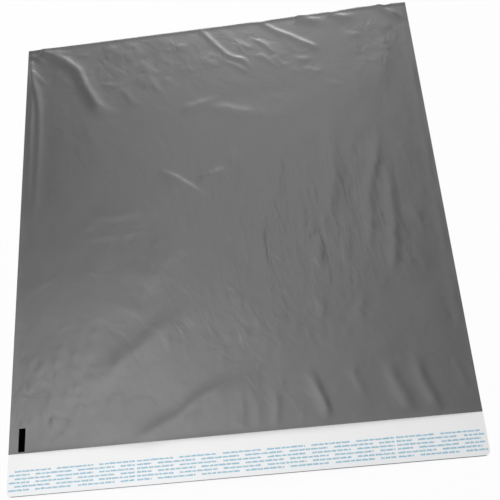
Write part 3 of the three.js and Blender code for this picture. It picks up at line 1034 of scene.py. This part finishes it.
@dataclass
class MailerFilm:
    """The bag's film: both panels, the fold, the welds and the flap.

    Attributes:
        shape: the surface that the film follows.
        back_step: spacing along the back panel.
    """

    shape: FilmShape = field(default_factory=FilmShape)
    back_step: float = 60

    # Steps round the fold and round each of the flap's corners, and rows of the flap.
    FOLD_STEPS = 6
    CORNER_STEPS = 6
    FLAP_ROWS = 11
    # Width of the grey trim along the flap's free edge.
    TRIM = 0.9
    # How far in from the sides the last columns lie, and how far down from the fold the first rows.
    RIM = (0, 1.5, 4)
    UNDER_FOLD = (0, 0.6, 1.5)
    ZONES_UNDER_FOLD = 2.6
    # The back's rows leave these lengths free: past the flap's corners, on both sides of the
    # place where the flap starts, and before the fold.
    PAST_CORNER = 4
    PAST_LIP = (20, 40)
    BEFORE_FOLD = 10
    # Where each zone of the mesh ends, and its spacing: finer where the film is creased most.
    # The rows run down from the fold, so their zones end at values of -Y.
    COLUMN_ZONES = ((-270, 1.9), (-180, 2.7), (-100, 5), (-15, 2.7), (165, 2.7), (262, 3.9), (299, 2.4))
    ROW_ZONES = (
        (-230, 2.2), (-160, 3.3), (-108, 5), (-30, 2.7), (12, 3.6), (100, 5.6), (200, 5), (291, 3.3),
    )

    def columns(self) -> Grid:
        """Places the mesh's columns.

        Returns:
            Their X, with the printed mark's two sides among them.
        """
        s = self.shape.sizes
        lines = spaced(self.COLUMN_ZONES, -s.weld_root)
        for x in RegistrationMark().x_range(s):
            lines[np.abs(lines - x).argmin()] = x
        rim = s.side - np.array(self.RIM)
        return np.concatenate([-rim, lines, rim[::-1]])

    def front_rows(self) -> Grid:
        """Places the front panel's rows.

        Returns:
            Their Y from the fold to the lip, with the printed mark's two ends among them.
        """
        s = self.shape.sizes
        near_fold = s.fold_centre - np.array(self.UNDER_FOLD)
        rows = np.concatenate([near_fold, -spaced(self.ROW_ZONES, self.ZONES_UNDER_FOLD - s.fold_centre)])
        for y in RegistrationMark().y_range(s):
            rows[np.abs(rows - y).argmin()] = y
        return rows

    def back_rows(self) -> Grid:
        """Places the back panel's rows.

        Returns:
            Their Y from the flap's free edge to the fold.
        """
        s = self.shape.sizes
        turn = np.linspace(0, math.pi / 2, self.CORNER_STEPS + 1)
        corner = s.flap_end + s.corner * (1 - np.cos(turn))
        flap_top, panel_low = (s.lip + length for length in self.PAST_LIP)
        flap = np.linspace(s.flap_end + s.corner + self.PAST_CORNER, flap_top, self.FLAP_ROWS)
        panel_end = s.fold_centre - self.shape.EDGE_RUN
        panel = np.linspace(panel_low, panel_end, round(s.panel / self.back_step))
        edge = [s.flap_end, s.flap_end + self.TRIM]
        fold = [s.fold_centre - self.BEFORE_FOLD, s.fold_centre]
        # The edge and its trim stand in for the corner's first two rows.
        return np.concatenate([edge, corner[2:], flap, panel, fold])

    def half_width(self, y: float) -> float:
        """Works out half of the flap's width, less where its corners are rounded.

        Args:
            y: Y of a row.

        Returns:
            The half width there.
        """
        s = self.shape.sizes
        into_corner = np.clip(s.flap_end + s.corner - y, 0, s.corner)
        return s.side - s.corner + np.sqrt(s.corner**2 - into_corner**2)

    def back_sections(self, columns: Grid) -> list[Section]:
        """Lays out the flap and the back panel.

        Args:
            columns: X of the mesh's columns.

        Returns:
            The outer and the inner points of each row.
        """
        gauge = self.shape.sizes.gauge
        sections = []
        for y in self.back_rows():
            x = columns * self.half_width(y) / self.shape.sizes.side
            level = np.full_like(x, y)
            rise = self.shape.flap_rise(x, level)
            shifted = level + self.shape.edge_shift(x, level)
            sections.append((np.stack([x, shifted, rise], 1), np.stack([x, shifted, rise + gauge], 1)))
        return sections

    def fold_sections(self, columns: Grid) -> list[Section]:
        """Turns the sheet over in a half turn.

        Args:
            columns: X of the mesh's columns.

        Returns:
            The outer and the inner points of each row.
        """
        s = self.shape.sizes
        centre = np.full_like(columns, s.fold_centre)
        axis = centre + self.shape.edge_shift(columns, centre)
        middle = s.gauge + s.hairline / 2
        sections = []
        for k in range(1, self.FOLD_STEPS):
            angle = math.pi * k / self.FOLD_STEPS
            outer, inner = (
                np.stack([columns, axis + reach * math.sin(angle),
                          np.full_like(columns, middle - reach * math.cos(angle))], 1)
                for reach in (s.fold_radius, s.hairline / 2)
            )
            sections.append((outer, inner))
        return sections

    def front_sections(self, columns: Grid) -> list[Section]:
        """Lays out the front panel.

        Args:
            columns: X of the mesh's columns.

        Returns:
            The outer and the inner points of each row.
        """
        s = self.shape.sizes
        x, y = np.meshgrid(columns, self.front_rows())
        under = s.gauge + s.hairline + self.shape.gap(x, y)
        shifted = y + self.shape.edge_shift(x, y)
        low = np.stack([x, shifted, under], 2)
        return [(row + [0, 0, s.gauge], row) for row in low]

    def grids(self) -> tuple[Grid, Grid]:
        """Lays the sheet out from the flap's free edge, round the fold, to the lip.

        Returns:
            The outer and the inner surface, each rows by columns by 3.
        """
        x = self.columns()
        rows = self.back_sections(x) + self.fold_sections(x) + self.front_sections(x)
        return np.stack([outer for outer, _ in rows]), np.stack([inner for _, inner in rows])

    def build(self, outside: bpy.types.Material, inside: bpy.types.Material) -> tuple[bpy.types.Object, Grid]:
        """Makes the film's piece.

        Args:
            outside: finish of the grey side.
            inside: finish of the white side.

        Returns:
            The piece, and the outer surface's grid.
        """
        outer, inner = self.grids()
        rows, columns = outer.shape[:2]
        faces, each = shell_faces(rows, columns)
        # The sheet is laid out underside first, so its outer grid faces down there.
        faces = [face[::-1] for face in faces]
        points = np.vstack([outer.reshape(-1, 3), inner.reshape(-1, 3)])
        piece = link_mesh("mailer_film", points, faces)
        finish = np.full(len(faces), Face.OUTSIDE.value)
        finish[each : 2 * each] = Face.INSIDE.value
        # The first row of the white side's faces, at the flap's free edge, takes the grey finish and draws a
        # thin dark line along that edge.
        finish[each : each + columns - 1] = Face.OUTSIDE.value
        piece.data.polygons.foreach_set("material_index", finish.tolist())
        dress(piece, Slot.FILM, ["bag_film"], outside, inside)
        return piece, outer


@dataclass(frozen=True)
class RegistrationMark:
    """The black block near the lip that the bag machine reads.

    Attributes:
        width: its size along X.
        length: its size along Y.
        from_side: its distance from the bag's left side.
        from_lip: its distance from the lip.
        ink: thickness of the ink.
    """

    width: float = 9
    length: float = 30
    from_side: float = 13
    from_lip: float = 2
    ink: float = 0.03

    # How near a line of the mesh has to be to count as the mark's edge.
    TOLERANCE = 1e-6

    def x_range(self, sizes: BagSizes) -> Point:
        """X of its two sides."""
        left = -sizes.side + self.from_side
        return (left, left + self.width)

    def y_range(self, sizes: BagSizes) -> Point:
        """Y of its two ends."""
        low = sizes.lip + self.from_lip
        return (low, low + self.length)

    def build(self, film: MailerFilm, outer: Grid, ink: bpy.types.Material) -> bpy.types.Object:
        """Makes the ink on the film's own mesh.

        Args:
            film: the film that carries it.
            outer: the film's outer surface.
            ink: the ink's finish.

        Returns:
            The piece.
        """
        s = film.shape.sizes
        columns, fronts = film.columns(), film.front_rows()
        x0, x1 = self.x_range(s)
        y0, y1 = self.y_range(s)
        near = self.TOLERANCE
        i = np.flatnonzero((columns >= x0 - near) & (columns <= x1 + near))
        j = np.flatnonzero((fronts >= y0 - near) & (fronts <= y1 + near)) + len(outer) - len(fronts)
        low = outer[np.ix_(j, i)]
        high = low + [0, 0, self.ink]
        faces, _ = shell_faces(len(j), len(i))
        faces = [face[::-1] for face in faces]
        points = np.vstack([high.reshape(-1, 3), low.reshape(-1, 3)])
        piece = link_mesh("printed_mark", points, faces)
        dress(piece, Slot.INK, ["registration_mark"], ink)
        return piece


@dataclass
class Closure:
    """The flap's closure: the adhesive band, its release liner and the liner's print.

    Attributes:
        shape: the surface that the flap follows.
        liner_width: width of the release liner.
        liner_gauge: its thickness.
        margin: how far it stops short of the flap's edges.
        adhesive_width: width of the adhesive band under it.
        adhesive_gauge: thickness of the band.
        end_margin: how far the band stops short of the bag's sides.
        column_step: spacing of both strips' mesh along X.
        print_rows: how many rows of print there are.
        row_pitch: spacing of the rows.
        first_row: Y of the row nearest the lip.
        mark_height: height of the tallest strokes.
        print_ink: thickness of the print's ink.
        repeat: length along X after which the print starts anew.
        repeat_start: X of one such start.
        phrase: length of each run of print.
        phrase_pitch: spacing of the runs.
        stroke: range of the strokes' widths.
        stroke_gap: the gap between strokes.
        word: range of the words' lengths.
        word_gap: what is added to the gap between words.
        print_seed: fixes the strokes.
    """

    shape: FilmShape = field(default_factory=FilmShape)
    liner_width: float = 32
    liner_gauge: float = 0.05
    margin: float = 1
    adhesive_width: float = 25
    adhesive_gauge: float = 0.04
    end_margin: float = 2
    column_step: float = 12
    print_rows: int = 6
    row_pitch: float = 4.6
    first_row: float = -314
    mark_height: float = 2.2
    print_ink: float = 0.02
    repeat: float = 328
    repeat_start: float = -135
    phrase: float = 48
    phrase_pitch: float = 56
    stroke: tuple[float, float] = (0.8, 1.7)
    stroke_gap: float = 0.25
    word: tuple[float, float] = (3.5, 9)
    word_gap: float = 1.1
    print_seed: int = 5

    # Rows of a strip's mesh at its rounded corners, and beyond them.
    CORNER_ROWS = 6
    STRIP_ROWS = 6
    # The repeats of the print that reach the bag's width.
    REPEATS = range(-2, 2)
    # The least distance from the print to the liner's ends and to the repeat's.
    PRINT_MARGIN = 1.5
    # Height of the lowest strokes, as a share of the tallest.
    LOWEST_STROKE = 0.7
    # Each stroke is a flat box of ink: how many corners it has, and the corners of its sides.
    BOX_CORNERS = 8
    BOX_SIDES = ((3, 2, 1, 0), (4, 5, 6, 7), (0, 1, 5, 4), (1, 2, 6, 5), (2, 3, 7, 6), (3, 0, 4, 7))

    def band(
        self, low: float, high: float, half: float, radius: float, base: float, thick: float
    ) -> tuple[Grid, list[tuple[int, ...]]]:
        """Lays a thin strip on the flap.

        Args:
            low: Y of its edge toward the flap's free edge.
            high: Y of its other edge.
            half: half of its length along X.
            radius: radius of its two corners at the low edge.
            base: height of its underside over the flap's underside.
            thick: its thickness.

        Returns:
            Its vertices and faces.
        """
        turn = np.linspace(0, math.pi / 2, self.CORNER_ROWS)
        rounded = low + radius * (1 - np.cos(turn)) if radius else np.array([low])
        rows = np.concatenate([rounded, np.linspace(low + radius, high, self.STRIP_ROWS)[1:]])
        columns = np.linspace(-half, half, round(2 * half / self.column_step) + 1)
        x, y = np.meshgrid(columns, rows)
        into = np.clip(low + radius - y, 0, radius)
        x = x * (half - radius + np.sqrt(radius**2 - into**2)) / half
        z = self.shape.flap_rise(x, y) + base
        top, under = np.stack([x, y, z + thick], -1), np.stack([x, y, z], -1)
        faces, _ = shell_faces(len(rows), len(columns))
        return np.vstack([top.reshape(-1, 3), under.reshape(-1, 3)]), faces

    def build_adhesive(self, finish: bpy.types.Material) -> bpy.types.Object:
        """Makes the adhesive band.

        Args:
            finish: the adhesive's finish.

        Returns:
            The piece.
        """
        s = self.shape.sizes
        middle = s.flap_end + self.margin + self.liner_width / 2
        half = s.side - self.end_margin
        low, high = middle - self.adhesive_width / 2, middle + self.adhesive_width / 2
        piece = link_mesh("adhesive_band", *self.band(low, high, half, 0, s.gauge, self.adhesive_gauge))
        dress(piece, Slot.ADHESIVE, ["adhesive_strip"], finish)
        return piece

    def build_liner(self, finish: bpy.types.Material) -> bpy.types.Object:
        """Makes the release liner.

        Args:
            finish: the liner's finish.

        Returns:
            The piece.
        """
        s = self.shape.sizes
        low, half = s.flap_end + self.margin, s.side - self.margin
        base = s.gauge + self.adhesive_gauge
        corner = s.corner - self.margin
        strip = self.band(low, low + self.liner_width, half, corner, base, self.liner_gauge)
        piece = link_mesh("liner_strip", *strip)
        dress(piece, Slot.LINER, ["release_liner"], finish)
        return piece

    def phrases(self, row: int) -> list[Point]:
        """Places the runs of print in one row.

        Args:
            row: the row's number, counted from the lip.

        Returns:
            Start and end of each run.
        """
        limit = self.shape.sizes.side - self.margin - self.PRINT_MARGIN
        shift = 0 if row % 2 == 0 else -self.phrase_pitch / 2
        runs = []
        for turn in self.REPEATS:
            origin = self.repeat_start + turn * self.repeat
            for k in range(math.ceil(self.repeat / self.phrase_pitch) + 1):
                begin = shift + k * self.phrase_pitch
                start = origin + max(self.PRINT_MARGIN, begin)
                end = origin + min(self.repeat - self.PRINT_MARGIN, begin + self.phrase)
                start, end = max(start, -limit), min(end, limit)
                if end - start > self.word[0]:
                    runs.append((start, end))
        return runs

    def strokes(self) -> Iterator[tuple[float, float, float, float]]:
        """Draws the print's strokes at random, word by word along each row.

        Yields:
            The least X, the least Y, the width and the height of each stroke.
        """
        draw = np.random.default_rng(self.print_seed)
        for row in range(self.print_rows):
            y = self.first_row - row * self.row_pitch
            for start, end in self.phrases(row):
                x = start
                word_end = x + draw.uniform(*self.word)
                while x < end:
                    width = min(draw.uniform(*self.stroke), end - x)
                    height = self.mark_height * draw.uniform(self.LOWEST_STROKE, 1.0)
                    yield x, y, width, height
                    x += width + self.stroke_gap
                    if x > word_end:
                        x += self.word_gap
                        word_end = x + draw.uniform(*self.word)

    def build_print(self, finish: bpy.types.Material) -> bpy.types.Object:
        """Makes the liner's print: rows of plain short strokes that spell nothing.

        Args:
            finish: the ink's finish.

        Returns:
            The piece.
        """
        base = self.shape.sizes.gauge + self.adhesive_gauge + self.liner_gauge
        points, boxes = [], []
        for k, (x, y, width, height) in enumerate(self.strokes()):
            corners = np.array([(x, y), (x + width, y), (x + width, y + height), (x, y + height)])
            rise = self.shape.flap_rise(corners[:, 0], corners[:, 1]) + base
            for lift in (0.0, self.print_ink):
                points.append(np.column_stack([corners, rise + lift]))
            for side in self.BOX_SIDES:
                boxes.append(tuple(self.BOX_CORNERS * k + corner for corner in side))
        piece = link_mesh("liner_print", np.vstack(points), boxes, smooth=False)
        dress(piece, Slot.LINER, [], finish)
        return piece


@dataclass(frozen=True)
class Camera:
    """The camera, at the place that the bag's corners give.

    Attributes:
        place: its place, in millimetres.
        right: the direction of the picture's right.
        down: the direction of the picture's lower edge.
        focal: focal length, in pixels of a picture 500 wide.
        centre: where the lens axis meets the picture, in its pixels.
    """

    place: tuple[float, float, float] = (111.07, -391.13, 905.90)
    right: tuple[float, float, float] = (0.99180, -0.07794, -0.10130)
    down: tuple[float, float, float] = (-0.10901, -0.92965, -0.35194)
    focal: float = 695.94
    centre: Point = (260.64, 246.94)

    PICTURE = 500
    SENSOR = 36
    # The nearest and the farthest that it sees, in metres.
    CLIP = (0.01, 50)

    def build(self) -> None:
        """Makes the camera and gives it to the scene."""
        lens = bpy.data.cameras.new("camera")
        lens.sensor_width = self.SENSOR
        lens.lens = self.SENSOR * self.focal / self.PICTURE
        lens.shift_x = (self.PICTURE / 2 - self.centre[0]) / self.PICTURE
        lens.shift_y = (self.centre[1] - self.PICTURE / 2) / self.PICTURE
        lens.clip_start, lens.clip_end = self.CLIP
        right, up = Vector(self.right).normalized(), -Vector(self.down).normalized()
        turn = Matrix([right, up, right.cross(up)]).transposed().to_4x4()
        camera = bpy.data.objects.new("camera", lens)
        camera.matrix_world = Matrix.Translation(Vector(self.place) * MM) @ turn
        bpy.context.scene.collection.objects.link(camera)
        bpy.context.scene.camera = camera


@dataclass(frozen=True)
class Softbox:
    """One rectangular soft light.

    Attributes:
        name: its name.
        place: its middle, in metres.
        width: its size one way.
        height: its size the other way.
        power: its power, in watts.
    """

    name: str
    place: tuple[float, float, float]
    width: float
    height: float
    power: float

    def build(self) -> None:
        """Makes the light, turned to the bag's middle."""
        light = bpy.data.lights.new(self.name, "AREA")
        light.shape = "RECTANGLE"
        light.size, light.size_y = self.width, self.height
        light.energy = self.power
        lamp = bpy.data.objects.new(self.name, light)
        lamp.location = self.place
        lamp.rotation_euler = (-Vector(self.place)).to_track_quat("-Z", "Y").to_euler()
        bpy.context.scene.collection.objects.link(lamp)


@dataclass(frozen=True)
class Studio:
    """The floor, the lights and the surroundings.

    Attributes:
        floor_colour: colour of the floor.
        floor_lift: how much of the floor a camera sees as plain white.
        surround: brightness of the surroundings.
        lights: the soft lights.
    """

    floor_colour: str = "f4f4f4"
    floor_lift: float = 0.9
    surround: float = 0.04
    lights: tuple[Softbox, ...] = (
        Softbox("near_softbox", (-0.85, -0.82, 3.2), 3.7, 1.6, 71.5),
        Softbox("overhead_softbox", (0.0, 1.4, 3.0), 2.6, 3.2, 35),
        Softbox("low_key", (0.15, 3.6, 1.15), 2.0, 1.5, 84),
    )

    # Radius and height of each step of the floor, which curves up to a wall all round.
    PROFILE = ((2.5, 0.0), (5.0, 0.0), (5.9, 0.15), (6.7, 0.65), (7.3, 1.4), (7.5, 2.3), (7.5, 4.0))
    SIDES = 64

    def floor_mesh(self) -> bpy.types.Object:
        """Makes the floor and the wall that it curves up to.

        Returns:
            The floor, without a material.
        """
        turn = np.linspace(0, 2 * math.pi, self.SIDES, endpoint=False)
        ring = np.stack([np.cos(turn), np.sin(turn)], 1)
        points = []
        for radius, height in self.PROFILE:
            points.append(np.column_stack([radius * ring, np.full(self.SIDES, height)]))
        faces = [tuple(range(self.SIDES))]
        for k in range(len(points) - 1):
            for j in range(self.SIDES):
                i = (j + 1) % self.SIDES
                low, high = k * self.SIDES, (k + 1) * self.SIDES
                faces.append((low + i, low + j, high + j, high + i))
        return link_mesh("floor", np.vstack(points) / MM, faces)

    def build(self) -> None:
        """Makes the whole stage."""
        material, tree = new_material("pale_floor")
        paper = add_node(tree, "BsdfDiffuse", {"Color": linear(self.floor_colour)})
        white = add_node(tree, "Emission", {"Color": WHITE, "Strength": 1.0})
        ray = add_node(tree, "LightPath")
        seen = ray.outputs["Is Camera Ray"]
        for kind in ("Is Glossy Ray", "Is Transmission Ray"):
            seen = add_node(tree, "Math", {0: seen, 1: ray.outputs[kind]}, operation="MAXIMUM").outputs[0]
        lift = add_node(tree, "Math", {0: seen, 1: self.floor_lift}, operation="MULTIPLY")
        both = add_node(tree, "MixShader", {0: lift.outputs[0], 1: paper.outputs[0], 2: white.outputs[0]})
        finish_material(tree, both.outputs[0])
        floor = self.floor_mesh()
        floor.data.materials.append(material)
        world = bpy.data.worlds.new("surroundings")
        world.use_nodes = True
        background = world.node_tree.nodes["Background"]
        background.inputs["Color"].default_value = WHITE
        background.inputs["Strength"].default_value = self.surround
        bpy.context.scene.world = world
        for light in self.lights:
            light.build()
        bpy.context.scene.view_settings.view_transform = "Standard"


def main() -> None:
    """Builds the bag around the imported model, then the stage."""
    logging.basicConfig(level=logging.INFO)
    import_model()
    Camera().build()
    shape = FilmShape()
    film, closure = MailerFilm(shape), Closure(shape)
    sheet, outer = film.build(GREY_FILM.build(), WHITE_FILM.build())
    pieces = [
        sheet,
        RegistrationMark().build(film, outer, BLACK_INK.build()),
        closure.build_adhesive(HotMelt().build()),
        closure.build_liner(LINER_FILM.build()),
        closure.build_print(BLUE_INK.build()),
    ]
    for piece in pieces:
        LOG.info("%s: %d faces", piece.name, len(piece.data.polygons))
    Studio().build()


if __name__ == "__main__":
    main()
